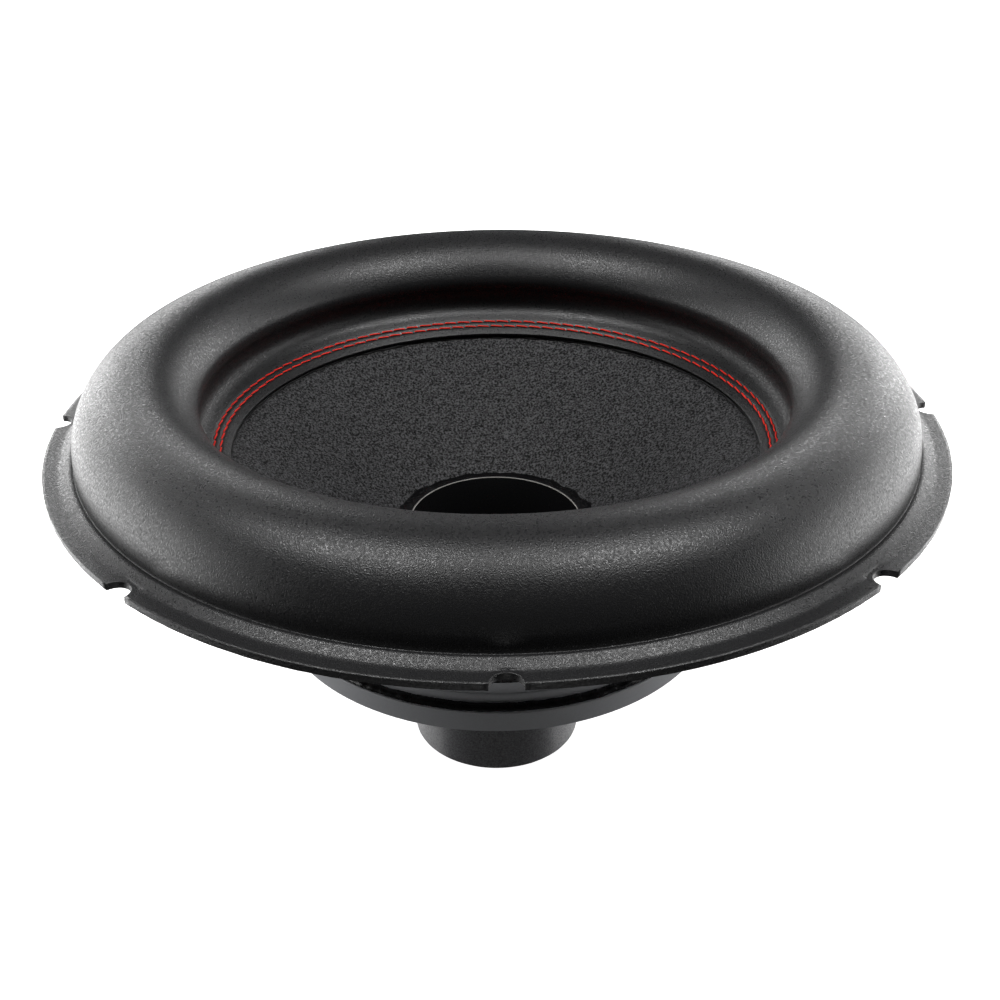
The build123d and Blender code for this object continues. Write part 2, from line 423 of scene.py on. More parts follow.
@dataclass(frozen=True)
class Finish:
    """A real material and the numbers that describe how it looks.

    Attributes:
        name: Name of the material.
        slot: Slot in the parts library; not used.
        colour: Surface colour as sRGB hex.
        roughness: Mean roughness.
        spread: How far the roughness varies either way.
        mottle: How strongly the colour's value varies from spot to spot.
        specular: Strength of the surface reflection, 0.5 being ordinary.
        metallic: One for bare metal.
        coat: Weight of a clear coat.
        sheen: Weight of soft edge light from fine fibres.
        grains: Random relief, coarse first.
        pattern: Regular relief.
    """

    name: str
    slot: Slot
    colour: str
    roughness: float
    spread: float = 0.0
    mottle: float = 0.0
    specular: float = 0.5
    metallic: float = 0.0
    coat: float = 0.0
    sheen: float = 0.0
    grains: tuple[Grain, ...] = ()
    pattern: Pattern = Pattern.NONE

    def material(self) -> bpy.types.Material:
        """The material, made the first time that it is asked for.

        Returns:
            A procedural node material.
        """
        return bpy.data.materials.get(self.name) or build_material(self)


def linear(colour: str) -> tuple[float, float, float, float]:
    """Turn an sRGB hex colour into linear light.

    Args:
        colour: Six hex digits after a hash.

    Returns:
        Red, green, blue and an alpha of one.
    """
    parts = (int(colour[n : n + 2], 16) / 255 for n in (1, 3, 5))
    light = [c / 12.92 if c <= 0.04045 else ((c + 0.055) / 1.055) ** 2.4 for c in parts]
    return (light[0], light[1], light[2], 1.0)


def add(tree: bpy.types.NodeTree, kind: str, *inputs: Any, **named: Any) -> bpy.types.Node:
    """Add a node, with its settings and its links.

    Args:
        tree: Node tree that gets the node.
        kind: Type name without its "ShaderNode" start.
        *inputs: Its first inputs in order, each a value, an output, or a node for its first
            output.
        **named: The node's own settings, in small letters, and other inputs by name, with a
            capital letter and underscores for spaces.

    Returns:
        The node.
    """
    node = tree.nodes.new("ShaderNode" + kind)
    sockets = list(zip(node.inputs, inputs))
    for key, value in named.items():
        if key[0].islower():
            setattr(node, key, value)
        else:
            sockets.append((node.inputs[key.replace("_", " ")], value))
    for socket, value in sockets:
        if isinstance(value, bpy.types.Node):
            value = value.outputs[0]
        if isinstance(value, bpy.types.NodeSocket):
            tree.links.new(value, socket)
        else:
            socket.default_value = value
    return node


def pattern_height(
    tree: bpy.types.NodeTree, pattern: Pattern, metres: bpy.types.NodeSocket
) -> bpy.types.Node:
    """Height of a regular relief.

    Twisted thread is the size of a sine that runs askew along the stitch. Plain-woven cloth is
    the product of a sine across and a sine along. Specks are small round blisters, highest
    where the nearest of many scattered points is close.

    Args:
        tree: Node tree.
        pattern: Which relief.
        metres: Object coordinate.

    Returns:
        The node that gives the height.
    """
    if pattern is Pattern.TWIST:
        split = add(tree, "SeparateXYZ", add(tree, "UVMap", uv_map="surface"))
        u, v = split.outputs["X"], split.outputs["Y"]
        askew = add(tree, "Math", u, TWISTS, v, operation="MULTIPLY_ADD")
        wave = add(tree, "Math", add(tree, "Math", askew, TURN, operation="MULTIPLY"), operation="SINE")
        return add(tree, "Math", wave, operation="ABSOLUTE")
    if pattern is Pattern.WEAVE:
        split = add(tree, "SeparateXYZ", metres)
        waves = []
        for axis in ("X", "Y"):
            phase = add(tree, "Math", split.outputs[axis], TURN / (WEAVE * MM), operation="MULTIPLY")
            waves.append(add(tree, "Math", phase, operation="SINE"))
        return add(tree, "Math", *waves, operation="MULTIPLY")
    cells = add(tree, "TexVoronoi", Vector=metres, Scale=1 / (SPECK_GAP * MM))
    near = add(tree, "Math", 0.45, cells, operation="SUBTRACT")
    return add(tree, "Math", near, 0.0, 0.1, operation="SMOOTH_MAX")


def build_material(finish: Finish) -> bpy.types.Material:
    """Build a finish as nodes.

    Noise makes spots darker and duller or paler and glossier, and each grain and then the
    pattern tilts the surface normal by its height.

    Args:
        finish: What to build.

    Returns:
        The material.
    """
    material = bpy.data.materials.new(finish.name)
    material.use_nodes = True
    tree = material.node_tree
    tree.nodes.clear()
    colour = linear(finish.colour)
    shader = add(
        tree, "BsdfPrincipled", Base_Color=colour, Roughness=finish.roughness,
        Metallic=finish.metallic, Specular_IOR_Level=finish.specular, Coat_Weight=finish.coat,
        Coat_Roughness=0.12, Sheen_Weight=finish.sheen, Sheen_Roughness=0.5,
    )
    metres = add(tree, "TexCoord").outputs["Object"]
    layers = [Grain(finish.grains[-1].size * 1.6, 0.0, 3.0), *finish.grains]
    noises = [
        add(tree, "TexNoise", Vector=metres, Scale=1 / (g.size * MM), Detail=g.detail, Roughness=0.55)
        for g in layers
    ]
    spots = noises[0]
    if finish.mottle:
        strength = 4 * finish.mottle
        value = add(tree, "Math", spots, strength, 1 - strength / 2, operation="MULTIPLY_ADD")
        value = add(tree, "Math", value, 0.05, operation="MAXIMUM")
        tinted = add(tree, "HueSaturation", Value=value, Color=colour)
        tree.links.new(tinted.outputs["Color"], shader.inputs["Base Color"])
    if finish.spread:
        strength = 4 * finish.spread
        middle = finish.roughness + strength / 2
        rough = add(tree, "Math", spots, -strength, middle, operation="MULTIPLY_ADD")
        tree.links.new(rough.outputs[0], shader.inputs["Roughness"])
    heights = [(height, grain.depth) for height, grain in zip(noises[1:], finish.grains)]
    if finish.pattern is not Pattern.NONE:
        heights.append((pattern_height(tree, finish.pattern, metres), finish.pattern.value))
    under = shader
    for height, depth in reversed(heights):
        bump = add(tree, "Bump", Strength=1.0, Distance=depth * MM, Height=height)
        tree.links.new(bump.outputs["Normal"], under.inputs["Normal"])
        under = bump
    add(tree, "OutputMaterial", Surface=shader)
    return material


# Moulded polyurethane foam with a satin skin and a fine pebble grain.
FOAM_SKIN = Finish(
    "moulded_foam_skin", Slot.FOAM, "#19191a", 0.38, spread=0.26, mottle=0.9, specular=0.45,
    grains=(Grain(1.7, 0.03), Grain(0.55, 0.16)),
)
# Black paper pulp pressed on a screen: rough fibres, with glossy spots of sealer on them.
PRESSED_PULP = Finish(
    "pressed_paper_pulp", Slot.PULP, "#323233", 0.5, spread=0.36, mottle=2.4, specular=0.14,
    grains=(Grain(2.2, 0.12), Grain(1.1, 0.45, 3.0), Grain(0.6, 0.5)),
)
# Thick black rubber-toughened glue, set to a gloss.
GLOSS_GLUE = Finish(
    "black_rubber_adhesive", Slot.GLUE, "#0a0a0b", 0.12, spread=0.04, specular=0.5,
    grains=(Grain(5.0, 0.25, 1.0),),
)
# The same glue where a line of it has squeezed out and set unevenly.
BEAD_GLUE = Finish(
    "black_adhesive_bead", Slot.GLUE, "#0b0b0c", 0.26, spread=0.05, specular=0.4,
    grains=(Grain(4.0, 0.08, 1.0),), pattern=Pattern.SPECKS,
)
# The same glue in a thin seam, which has dried dull.
SEAM_GLUE = Finish(
    "black_adhesive_seam", Slot.GLUE, "#0a0a0b", 0.5, spread=0.05, specular=0.25,
    grains=(Grain(1.5, 0.08, 1.0),),
)
# Bonded polyester sewing thread in red.
RED_THREAD = Finish(
    "bonded_polyester_thread", Slot.THREAD, "#ff3a2e", 0.55, spread=0.05, mottle=0.08, specular=0.15,
    grains=(Grain(0.12, 0.02),), pattern=Pattern.TWIST,
)
# Thin aluminium sheet with a black anodised layer, which shines like dark plastic, not metal.
FORMER_TUBE = Finish(
    "black_anodised_aluminium", Slot.FORMER, "#161617", 0.3, spread=0.05, mottle=0.1,
    grains=(Grain(0.6, 0.01),),
)
# The same sheet at its cut top edge, dull from sawing, and pale partly for the bare metal of the cut and
# partly as a painted highlight along the rim.
RIM_HIGHLIGHT_EDGE = Finish(
    "cut_edge_painted_highlight", Slot.FORMER, "#8a8884", 0.5, spread=0.05, mottle=0.2,
    grains=(Grain(0.5, 0.02),),
)
# Enamelled round wire under black varnish.
VARNISHED_WIRE = Finish(
    "varnished_magnet_wire", Slot.WIRE, "#4c4c4e", 0.38, spread=0.12, mottle=0.7, coat=0.1,
    grains=(Grain(2.5, 0.05), Grain(0.5, 0.07)),
)
# Black insulating paper.
BLACK_PAPER = Finish(
    "black_insulating_paper", Slot.PAPER, "#1c1c1d", 0.55, spread=0.05, mottle=0.15,
    grains=(Grain(0.7, 0.03),),
)
# Rolled copper strip.
COPPER_STRIP = Finish(
    "rolled_copper_strip", Slot.COPPER, "#b46a45", 0.32, spread=0.08, mottle=0.08, metallic=1.0,
    grains=(Grain(1.2, 0.02),),
)
# Tin solder, flowed and cooled.
TIN_SOLDER = Finish(
    "flowed_tin_solder", Slot.SOLDER, "#b9bcc0", 0.22, spread=0.08, metallic=1.0,
    grains=(Grain(1.5, 0.15, 1.0),),
)
# Resin-stiffened cotton and polyester cloth, dyed black, with its threads 0.75 mm apart.
SPIDER_CLOTH = Finish(
    "resin_stiffened_cloth", Slot.CLOTH, "#1e1e1f", 0.7, spread=0.05, mottle=0.15, sheen=0.15,
    grains=(Grain(0.5, 0.03),), pattern=Pattern.WEAVE,
)
# Grey moulded ABS with a fine spark-eroded texture, drawn coarser than real so that it shows.
MOULDED_PLASTIC = Finish(
    "moulded_grey_abs", Slot.PLASTIC, "#8c8d90", 0.5, spread=0.03, mottle=0.06,
    grains=(Grain(0.5, 0.012),),
)


def place(
    piece: bpy.types.Object, finish: Finish, *nodes: str, body: str | None = MOVING
) -> bpy.types.Object:
    """Give a piece its finish, let it stand for its CAD nodes and put it on its body.

    Args:
        piece: The object.
        finish: Its finish.
        *nodes: CAD nodes that it replaces.
        body: Body that it rides on, or None to leave it on no body.

    Returns:
        The object.
    """
    piece.data.materials.append(finish.material())
    if nodes:
        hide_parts(*nodes)
    if body is not None:
        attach(piece, body)
    return piece


# ---------------------------------------------------------------------------
# Shape of the whole: places worked out from the sizes, as in the CAD model
# ---------------------------------------------------------------------------


@dataclass
class Layout:
    """Places of the surround and the cone in the (radius, height) plane."""

    bead_outer_r: float = FLANGE_R - FLANGE_FLAT
    wrap_r: float = FORMER_R + FORMER_WALL + WRAP_THICK
    rim_top: np.ndarray = field(init=False)
    roll_foot: np.ndarray = field(init=False)
    roll_centre: np.ndarray = field(init=False)
    tuck_centre: np.ndarray = field(init=False)
    corner_centre: np.ndarray = field(init=False)
    neck_top: np.ndarray = field(init=False)
    cone_angle: float = field(init=False)

    def __post_init__(self) -> None:
        """Work out the places, outermost first."""
        self.rim_top = np.array([FLANGE_R, FLANGE_Z + FLANGE_THICK])
        self.roll_foot = np.array([self.bead_outer_r - BEAD_WIDTH, self.rim_top[1]])
        rise = FLANGE_Z + ROLL_RISE - self.roll_foot[1]
        centre_r = self.roll_foot[0] - math.sqrt(ROLL_R**2 - rise**2)
        self.roll_centre = np.array([centre_r, FLANGE_Z + ROLL_RISE])
        self.tuck_centre = self.roll_centre + polar(ROLL_R - TUCK_R, 180 - TUCK_ANGLE)
        self.corner_centre = self.tuck_centre + polar(TUCK_R + CORNER_R, 180 + TUCK_UNDER)
        self.neck_top = np.array([self.wrap_r + SEAT_GAP, FORMER_LENGTH - NECK_DROP])
        run = self.corner_centre - self.neck_top
        stack = CORNER_R + FOAM + SEAT_GAP + LIP_FILM
        view = math.degrees(math.atan2(run[1], run[0]))
        self.cone_angle = view - math.degrees(math.asin(stack / np.hypot(*run)))

    @property
    def slope(self) -> np.ndarray:
        """Unit step up the cone, away from the axis."""
        return polar(1, self.cone_angle)

    @property
    def upward(self) -> np.ndarray:
        """Unit step square to the cone, on its open side."""
        return polar(1, self.cone_angle + 90)

    @property
    def lip_start(self) -> np.ndarray:
        """Outer end of the lip's upper face."""
        return self.corner_centre - self.upward * CORNER_R

    @property
    def lip_end(self) -> np.ndarray:
        """Inner end of the lip's upper face."""
        return self.lip_start - self.slope * LIP_WIDTH

    @property
    def cone_start(self) -> np.ndarray:
        """Outer end of the cone's open side."""
        return self.lip_start - self.upward * (FOAM + SEAT_GAP + LIP_FILM) - self.slope * CONE_INSET

    def cone_surface(self, r: float | np.ndarray) -> np.ndarray:
        """Height of the cone's open side at a radius or at many."""
        start, slope = self.cone_start, self.slope
        return start[1] + (np.asarray(r) - start[0]) * slope[1] / slope[0]


LAYOUT = Layout()


@dataclass
class Surround:
    """Moulded foam half-roll with its notched flange and sewn lip.

    Attributes:
        between: Columns of points between two notches.
        within: Columns of points across one notch.
        cut_edge: Roughness of the knife-cut rim in millimetres.
        furrow: Depth to which a row of stitches pulls the lip down, in millimetres.
        furrow_width: Distance over which a furrow fades to about a third, in millimetres.
        stitches: Stitches in a row.
        solid: Width of plain flange left inside the notches, in millimetres.
        still_r: Not used; meant as the radius outside which it stays with the mounting.
        moving_r: Not used; meant as the radius inside which it goes with the cone.
    """

    between: int = 46
    within: int = 16
    cut_edge: float = 0.07
    furrow: float = 0.34
    furrow_width: float = 0.75
    stitches: int = 112
    solid: float = 1.7
    still_r: float = 174.0
    moving_r: float = 124.0

    def columns(self) -> tuple[np.ndarray, np.ndarray]:
        """Angles of the columns, and the rim's radius at each.

        Within a notch the points are evenly spaced along its half-circle, and elsewhere they
        are evenly spaced along the rim.

        Returns:
            Angles in radians and radii in millimetres.
        """
        edge = 2 * math.asin(NOTCH_R / (2 * FLANGE_R))
        reach = math.acos(math.sin(edge / 2))
        turn = np.linspace(-reach, reach, self.within)
        x = FLANGE_R - NOTCH_R * np.cos(turn)
        y = NOTCH_R * np.sin(turn)
        gap = TURN / NOTCHES - 2 * edge
        plain = edge + gap * (np.arange(1, self.between + 1) / (self.between + 1))
        angles = np.concatenate([np.arctan2(y, x), plain])
        radii = np.concatenate([np.hypot(x, y), np.full(self.between, FLANGE_R)])
        start = np.arange(NOTCHES)[:, None] * TURN / NOTCHES
        return (angles + start).ravel(), np.tile(radii, NOTCHES)

    def outline(self) -> tuple[np.ndarray, np.ndarray]:
        """The moulding's closed section.

        It runs anticlockwise: out along the underside, up the rim, in over the bead, the roll,
        the hollow corner and the lip, and back underneath.

        Returns:
            The outline, and for each point its share of the way out to the rim, from just
            inside the notches.
        """
        lay = LAYOUT
        low, top, foot = FLANGE_Z, lay.rim_top[1], np.array([lay.bead_outer_r, lay.rim_top[1]])
        shell_r = ROLL_R - FOAM
        half = BEAD_WIDTH / 2
        bead_r = (half**2 + BEAD_HEIGHT**2) / (2 * BEAD_HEIGHT)
        bead_centre = np.array([foot[0] - half, top + BEAD_HEIGHT - bead_r])
        lean = math.degrees(math.asin((top - bead_centre[1]) / bead_r))
        foot_turn = math.degrees(math.atan2(*(lay.roll_foot - lay.roll_centre)[::-1]))
        shell_turn = -math.degrees(math.asin(ROLL_RISE / shell_r))
        reach = math.sqrt(shell_r**2 - ROLL_RISE**2)
        shell_start = np.array([lay.roll_centre[0] + reach, low])
        tilt = lay.cone_angle
        under = lay.upward * FOAM
        round_r = 0.5
        tip = lay.lip_end + (lay.slope - lay.upward) * round_r
        parts = [
            line(shell_start, (foot[0], low), 5),
            line((foot[0], low), (FLANGE_R, low), 5),
            line((FLANGE_R, low + 0.15), (FLANGE_R, top - 0.15), 5),
            line((FLANGE_R, top), foot, 8),
            arc(bead_centre, bead_r, lean, 180 - lean, 13),
            arc(lay.roll_centre, ROLL_R, foot_turn, 180 - TUCK_ANGLE, 50),
            arc(lay.tuck_centre, TUCK_R, 180 - TUCK_ANGLE, 180 + TUCK_UNDER, 12),
            arc(lay.corner_centre, CORNER_R, TUCK_UNDER, tilt - 90, 14),
            line(lay.lip_start, lay.lip_end + lay.slope * round_r, 32),
            arc(tip, round_r, tilt + 90, tilt + 180, 5),
            line(lay.lip_end - under, lay.lip_start - under, 4),
            arc(lay.corner_centre, CORNER_R + FOAM, tilt - 90, TUCK_UNDER, 7),
            arc(lay.tuck_centre, TUCK_R - FOAM, 180 + TUCK_UNDER, 180 - TUCK_ANGLE, 7),
            arc(lay.roll_centre, shell_r, 180 - TUCK_ANGLE, shell_turn, 24),
        ]
        outline = soften(join(*parts), [foot, lay.roll_foot], 2.6, 40)
        solid_r = FLANGE_R - NOTCH_R - self.solid
        share = (outline[:, 0] - solid_r) / (FLANGE_R - solid_r)
        return outline, np.clip(share, 0, 1)

    def build(self) -> bpy.types.Object:
        """Make the surround.

        The flange's width follows the notches, the rim has a cut edge, and each row of
        stitches draws the lip down in a dimpled furrow.

        Returns:
            The object, which rides on no body.
        """
        outline, share = self.outline()
        angles, rim = self.columns()
        points = swept(outline, angles)
        radial = np.stack([np.cos(angles), np.sin(angles), np.zeros(len(angles))], axis=-1)
        cut = lumps(points, 5, 0.9, 4.0) * self.cut_edge * (share > 0.999)[:, None]
        inset = share[:, None] * (FLANGE_R - rim)[None, :] + np.abs(cut)
        points -= inset[..., None] * radial
        points += self.dimples(outline, angles)
        piece = ring_object("surround_skin", points, angles, lengths(outline))
        place(piece, FOAM_SKIN, "surround", body=None)
        blend_by_radius(piece)
        return piece

    def dimples(self, outline: np.ndarray, angles: np.ndarray) -> np.ndarray:
        """How far the two rows of stitches pull the lip's upper face down.

        Across a row the depth falls off as a bell curve, and along it the depth is least at
        the middle of each stitch.

        Args:
            outline: The section.
            angles: Angle of each column.

        Returns:
            Shifts in millimetres, (rows, columns, 3).
        """
        lay = LAYOUT
        offset = outline - lay.lip_start
        along = -(offset @ lay.slope)
        on_top = np.abs(offset @ lay.upward) < 0.1
        depth = np.zeros((len(outline), len(angles)))
        for row in range(2):
            across = np.exp(-(((along - ROW_INSET - row * ROW_SPACING) / self.furrow_width) ** 2))
            phase = self.stitches * angles / 2 + row * math.pi / 2
            depth += (across * on_top)[:, None] * (0.55 + 0.45 * np.abs(np.sin(phase)))[None, :]
        normal = swept(lay.upward[None, :], angles)[0]
        return -self.furrow * depth[..., None] * normal[None, ...]


@dataclass
class ThreadRow:
    """One row of stitches.

    Attributes:
        name: Name of the piece.
        node: CAD node that it stands for.
        row: 0 for the outer row and 1 for the inner.
        below: Whether it is the bobbin thread under the cone.
        stitches: Stitches in the row.
        cover: Share of the pitch that a stitch covers.
        slant: How far a stitch turns from the row's line, in degrees.
        thick: Half the thread's width in millimetres.
        lift: Height of a stitch's middle line above its seat, in millimetres.
        dive: How far the line sinks at a stitch's ends, in millimetres.
        uneven: Spread of the stitches' places in radians.
    """

    name: str
    node: str
    row: int
    below: bool
    stitches: int = 112
    cover: float = 0.95
    slant: float = 5.0
    thick: float = 0.36
    lift: float = 0.26
    dive: float = 0.62
    uneven: float = 0.0012

    def build(self) -> bpy.types.Object:
        """Make the row.

        A stitch is a tube of oval section whose middle line is flat along its length and
        dives at both ends, as the eighth power of the distance from its middle.

        Returns:
            The object.
        """
        lay = LAYOUT
        side = -1.0 if self.below else 1.0
        depth = FOAM + SEAT_GAP + LIP_FILM + CONE_THICK if self.below else 0.12
        seat = lay.lip_start - lay.slope * (ROW_INSET + self.row * ROW_SPACING) - lay.upward * depth
        half = self.cover * TURN * seat[0] / self.stitches / 2
        rings, sides = 11, 8
        x = np.linspace(-1, 1, rings)[:, None]
        turn = np.linspace(0, TURN, sides, endpoint=False)[None, :]
        girth = np.sqrt(np.clip(1.04 - x**8, 0, None))
        lift = self.lift - self.dive * x**8
        tangent = x * half + 0 * turn
        drift = x * half * math.tan(math.radians(self.slant)) * side
        across = drift + self.thick * girth * np.cos(turn)
        height = side * (lift + 0.85 * self.thick * girth * np.sin(turn))
        angles = (np.arange(self.stitches) + self.row / 2) * TURN / self.stitches
        angles += np.random.default_rng(40 + self.row).normal(size=self.stitches) * self.uneven
        points = self.placed(seat, tangent, across, height, angles)
        ring = quads(rings, sides)[: (rings - 1) * sides]
        uv = grid_uv(np.linspace(0, 1, sides + 1), np.linspace(0, 1, rings))[..., ::-1]
        if not self.below:
            ring, uv = ring[:, ::-1], uv[:, ::-1]
        first = np.arange(self.stitches)[:, None, None] * rings * sides
        faces, uv = (ring + first).reshape(-1, 4), np.tile(uv.reshape(-1, 2), (self.stitches, 1))
        piece = make_object(self.name, points, faces, uv)
        return place(piece, RED_THREAD, self.node)

    @staticmethod
    def placed(
        seat: np.ndarray, tangent: np.ndarray, across: np.ndarray, height: np.ndarray, angles: np.ndarray
    ) -> np.ndarray:
        """Put one stitch at every angle.

        Args:
            seat: Middle of the stitch as (radius, height).
            tangent: Distance round the axis of each point, (rings, sides).
            across: Distance up the slope of each point.
            height: Distance square to the slope of each point.
            angles: Angle of each stitch.

        Returns:
            Points, (stitches, rings, sides, 3).
        """
        lay = LAYOUT
        r = seat[0] + across * lay.slope[0] + height * lay.upward[0]
        z = seat[1] + across * lay.slope[1] + height * lay.upward[1]
        turn = angles[:, None, None] + np.arctan(tangent / r)[None]
        reach = np.hypot(r, tangent)[None]
        return np.stack([reach * np.cos(turn), reach * np.sin(turn), z[None] + 0 * turn], axis=-1)


@dataclass
class Cone:
    """Pulp cone with its turned-down neck, its stitching and the glue under the lip.

    Attributes:
        columns: Points round the axis.
        rough: Height of the pulp's lumps in millimetres.
        smooth_r: Radius at the neck inside which there are none.
    """

    columns: int = 600
    rough: float = 0.08
    smooth_r: float = 41.5

    def build(self) -> list[bpy.types.Object]:
        """Make the cone, the glue film with its squeezed-out edge, and the four rows of thread.

        Returns:
            The objects.
        """
        rows = [
            ThreadRow("needle_stitches_outer", "needle_thread_outer", 0, False),
            ThreadRow("needle_stitches_inner", "needle_thread_inner", 1, False),
            ThreadRow("bobbin_stitches_outer", "bobbin_thread_outer", 0, True, slant=2.0),
            ThreadRow("bobbin_stitches_inner", "bobbin_thread_inner", 1, True, slant=2.0),
        ]
        return [self.shell(), self.lip_glue()] + [row.build() for row in rows]

    def shell(self) -> bpy.types.Object:
        """The cone itself, displaced square to its slope by smooth random lumps.

        The lumps fade out under the lip and at the neck.

        Returns:
            The object.
        """
        lay = LAYOUT
        start, under = lay.cone_start, lay.cone_start - lay.upward * CONE_THICK
        outer_neck = lay.neck_top[0] + CONE_THICK
        low = lay.neck_top[1] - NECK_LENGTH
        under_neck = under + lay.slope * ((outer_neck - under[0]) / lay.slope[0])
        outline = join(
            line(under_neck, under, 34),
            line(under, start, 3),
            line(start, lay.neck_top, 96),
            line(lay.neck_top, (lay.neck_top[0], low), 3),
            line((lay.neck_top[0], low), (outer_neck, low), 2),
            line((outer_neck, low), under_neck, 3),
        )

        def pressed(points: np.ndarray, angles: np.ndarray) -> np.ndarray:
            """Raise and sink the cone's faces by the pulp's lumps.

            Args:
                points: The turned points, (rows, columns, 3).
                angles: Angle of each column in radians.

            Returns:
                The new points.
            """
            r = np.hypot(points[..., 0], points[..., 1])
            fade = smoothstep((r - self.smooth_r) / 4) * smoothstep((start[0] - 0.5 - r) / 8)
            coarse = lumps(points, 11, 2.6, 8.0)
            normal = swept(lay.upward[None, :], angles)
            return points + (self.rough * coarse * fade)[..., None] * normal

        return place(turned("pulp_cone", outline, self.columns, pressed), PRESSED_PULP, "cone")

    def lip_glue(self) -> bpy.types.Object:
        """Glue film under the lip, which swells where it has squeezed out at the lip's inner end.

        The width and height of the swelling vary round the axis.

        Returns:
            The object.
        """
        lay = LAYOUT
        start = lay.cone_start
        end = lay.lip_end - lay.upward * (FOAM + SEAT_GAP + LIP_FILM)
        film = lay.upward * LIP_FILM
        walls = [line(end - lay.slope, start, 10), line(start + film, end + film, 6)]
        outline = np.vstack([*walls, line(end + film, end - lay.slope, 8)[1:-1]])

        def squeezed(points: np.ndarray, angles: np.ndarray) -> np.ndarray:
            """Swell the film beyond the lip, in a quarter of an ellipse.

            Args:
                points: The turned points, (rows, columns, 3).
                angles: Angle of each column in radians.

            Returns:
                The new points.
            """
            width = np.clip(0.85 + 0.2 * wobble(angles, 3, 9, 90), 0.4, None)
            height = np.clip(0.42 + 0.1 * wobble(angles, 4, 9, 70), 0.2, None)
            t = -((outline - end) @ lay.slope)
            out = np.clip(t, 0, 1)[:, None]
            top = np.arange(len(outline)) >= sum(map(len, walls))
            bulge = np.sqrt(np.clip(1 - out**2, 0, None)) * height[None] * top[:, None]
            shift = -(out * (width[None] - 1))[..., None] * swept(lay.slope[None], angles)
            return points + shift + bulge[..., None] * swept(lay.upward[None], angles)

        return place(turned("lip_glue_line", outline, 480, squeezed), SEAM_GLUE, "lip_adhesive")


@dataclass
class VoiceCoil:
    """Former with its cut edge and its two windings; its wrap, leads and solder pads are the CAD ones,
    finished.

    Attributes:
        wire: Pitch of the outer winding in millimetres.
        groove: Depth of the grooves between its turns.
        varnish: How far its outside lies below its full radius, on average.
        rim: Height of the former's cut edge, bare metal with a painted highlight on it.
    """

    wire: float = 0.6
    groove: float = 0.16
    varnish: float = 0.05
    rim: float = 0.3

    def build(self) -> list[bpy.types.Object]:
        """Make the coil's own pieces and finish its CAD ones.

        Returns:
            The new objects.
        """
        inner = FORMER_R + FORMER_WALL
        middle, outer = inner + WINDING_THICK, inner + 2 * WINDING_THICK
        top = WINDING_LOW + WINDING_LENGTH
        cut = FORMER_LENGTH - self.rim
        tubes = [
            turned(name, tube_outline(*walls), 192)
            for name, *walls in (
                ("former_tube", FORMER_R, inner, 0, cut, 0.05, 8),
                ("former_rim_painted_highlight", FORMER_R, inner, cut, FORMER_LENGTH, 0.08, 2),
                ("inner_winding", inner, middle, WINDING_LOW, top, 0.2, 8),
            )
        ]
        keep("former_wrap", BLACK_PAPER)
        keep("flat_leads", COPPER_STRIP)
        keep("solder_pads", TIN_SOLDER)
        return [
            place(tubes[0], FORMER_TUBE, "voice_coil_former"),
            # The cut edge's pale colour is partly a painted highlight along the former's rim.
            place(tubes[1], RIM_HIGHLIGHT_EDGE),
            place(tubes[2], VARNISHED_WIRE, "winding_inner"),
            self.winding(middle, outer, WINDING_LOW, top),
        ]

    def winding(self, r_in: float, r_out: float, low: float, high: float) -> bpy.types.Object:
        """The outer winding: one wire wound as a helix.

        The outside is a row of half-round ridges whose phase advances by one ridge a turn,
        and the ridges die away at the two ends, where the wire turns in under the varnish.

        Args:
            r_in: Inner radius.
            r_out: Outer radius.
            low: Height of the lower end.
            high: Height of the upper end.

        Returns:
            The object.
        """
        ridges = round((high - low) / self.wire)
        wall = line((r_out, low), (r_out, high), ridges * 8 + 1)
        outline = join(
            line((r_in, low), (r_out, low), 3), wall,
            line((r_out, high), (r_in, high), 3), line((r_in, high), (r_in, low), 4),
        )

        def wound(points: np.ndarray, angles: np.ndarray) -> np.ndarray:
            """Sink the tube's outside between the turns of wire.

            Args:
                points: The turned points, (rows, columns, 3).
                angles: Angle of each column in radians.

            Returns:
                The new points.
            """
            r, z = np.hypot(points[..., 0], points[..., 1]), points[..., 2]
            phase = (z - low) / self.wire - angles[None, :] / TURN
            across = 2 * (phase - np.floor(phase)) - 1
            ridge = 1 - np.sqrt(np.clip(1 - across**2, 0, 1))
            ends = smoothstep((z - low) / 0.7) * smoothstep((high - z) / 0.7)
            uneven = 0.03 * lumps(points, 21, 5, 25)
            depth = self.groove * ridge * ends + self.varnish - uneven * 0.6
            sink = np.where(r > r_out - 0.01, depth, 0.0)
            return points * (1 - (sink / r))[..., None] ** np.array([1, 1, 0])

        piece = turned("outer_winding", outline, 112, wound)
        return place(piece, VARNISHED_WIRE, "winding_outer")


def tube_outline(
    r_in: float, r_out: float, low: float, high: float, edge: float, rows: int
) -> np.ndarray:
    """Section of a ring or tube with rounded edges.

    Args:
        r_in: Inner radius.
        r_out: Outer radius.
        low: Height of its lower end.
        high: Height of its upper end.
        edge: Radius of its edges.
        rows: Points up each wall.

    Returns:
        A closed anticlockwise outline.
    """
    corners = [
        (r_out - edge, low + edge, -90), (r_out - edge, high - edge, 0),
        (r_in + edge, high - edge, 90), (r_in + edge, low + edge, 180),
    ]
    arcs = [arc(np.array([r, z]), edge, first, first + 90, 4) for r, z, first in corners]
    return join(
        arcs[0], line((r_out, low + edge), (r_out, high - edge), rows), arcs[1],
        arcs[2], line((r_in, high - edge), (r_in, low + edge), rows), arcs[3],
    )


def keep(node: str, finish: Finish) -> None:
    """Show a CAD node as it is, with a procedural finish.

    Args:
        node: Name of the node.
        finish: Its finish.
    """
    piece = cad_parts[node]
    piece.data.materials.clear()
    piece.data.materials.append(finish.material())


